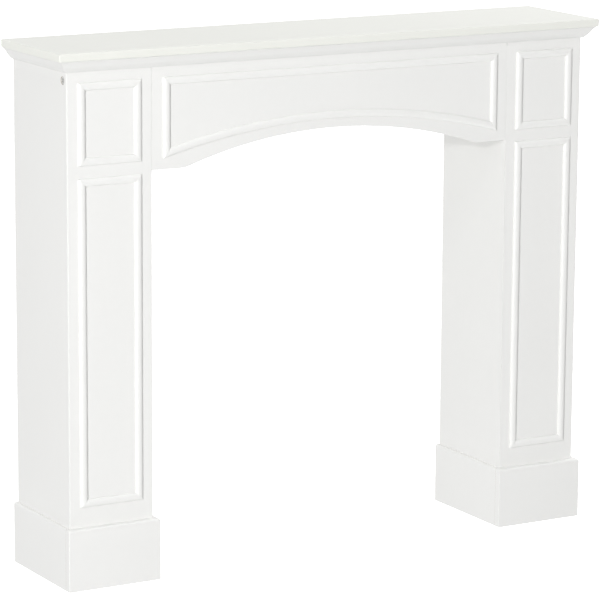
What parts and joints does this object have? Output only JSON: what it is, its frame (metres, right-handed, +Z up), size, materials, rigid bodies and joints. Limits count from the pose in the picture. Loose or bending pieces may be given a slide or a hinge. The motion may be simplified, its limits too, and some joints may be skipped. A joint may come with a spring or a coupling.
{
  "type": "fireplace mantelpiece",
  "caption": "White painted fireplace mantelpiece: moulded shelf, arched panelled frieze and panelled legs on plinths, open at the back.",
  "frame": {"origin": "on the floor, under the middle of the shelf's outline", "axes": "+X along the shelf, front towards -Y, +Z up"},
  "size_m": [1.187, 0.2536, 1.02],
  "materials": {
    "shelf_paint": "satin white paint on fibreboard",
    "crown_paint": "satin white paint on fibreboard",
    "frieze_paint": "satin white paint on fibreboard",
    "leg_paint": "satin white paint on fibreboard",
    "panel_moulding_paint": "satin white paint on fibreboard",
    "plinth_paint": "satin white paint on fibreboard",
    "cam_zinc": "zinc plated, slightly dull"
  },
  "bodies": {
    "root": {"shelf_board": "shelf_paint", "crown_moulding_front": "crown_paint", "crown_moulding_left": "crown_paint", "crown_moulding_right": "crown_paint", "frieze_board": "frieze_paint", "frieze_panel_moulding_left": "panel_moulding_paint", "frieze_panel_moulding_right": "panel_moulding_paint", "frieze_panel_moulding_top": "panel_moulding_paint", "frieze_panel_moulding_bottom": "panel_moulding_paint", "left_leg_front_board": "leg_paint", "left_leg_outer_side_board": "leg_paint", "left_leg_inner_side_board": "leg_paint", "left_leg_cam_disc": "cam_zinc", "left_leg_upper_panel_moulding_left": "panel_moulding_paint", "left_leg_upper_panel_moulding_right": "panel_moulding_paint", "left_leg_upper_panel_moulding_top": "panel_moulding_paint", "left_leg_upper_panel_moulding_bottom": "panel_moulding_paint", "left_leg_lower_panel_moulding_left": "panel_moulding_paint", "left_leg_lower_panel_moulding_right": "panel_moulding_paint", "left_leg_lower_panel_moulding_top": "panel_moulding_paint", "left_leg_lower_panel_moulding_bottom": "panel_moulding_paint", "left_plinth_front_board": "plinth_paint", "left_plinth_outer_board": "plinth_paint", "left_plinth_inner_board": "plinth_paint", "right_leg_front_board": "leg_paint", "right_leg_outer_side_board": "leg_paint", "right_leg_inner_side_board": "leg_paint", "right_leg_cam_disc": "cam_zinc", "right_leg_upper_panel_moulding_left": "panel_moulding_paint", "right_leg_upper_panel_moulding_right": "panel_moulding_paint", "right_leg_upper_panel_moulding_top": "panel_moulding_paint", "right_leg_upper_panel_moulding_bottom": "panel_moulding_paint", "right_leg_lower_panel_moulding_left": "panel_moulding_paint", "right_leg_lower_panel_moulding_right": "panel_moulding_paint", "right_leg_lower_panel_moulding_top": "panel_moulding_paint", "right_leg_lower_panel_moulding_bottom": "panel_moulding_paint", "right_plinth_front_board": "plinth_paint", "right_plinth_outer_board": "plinth_paint", "right_plinth_inner_board": "plinth_paint"}
  },
  "joints": []
}
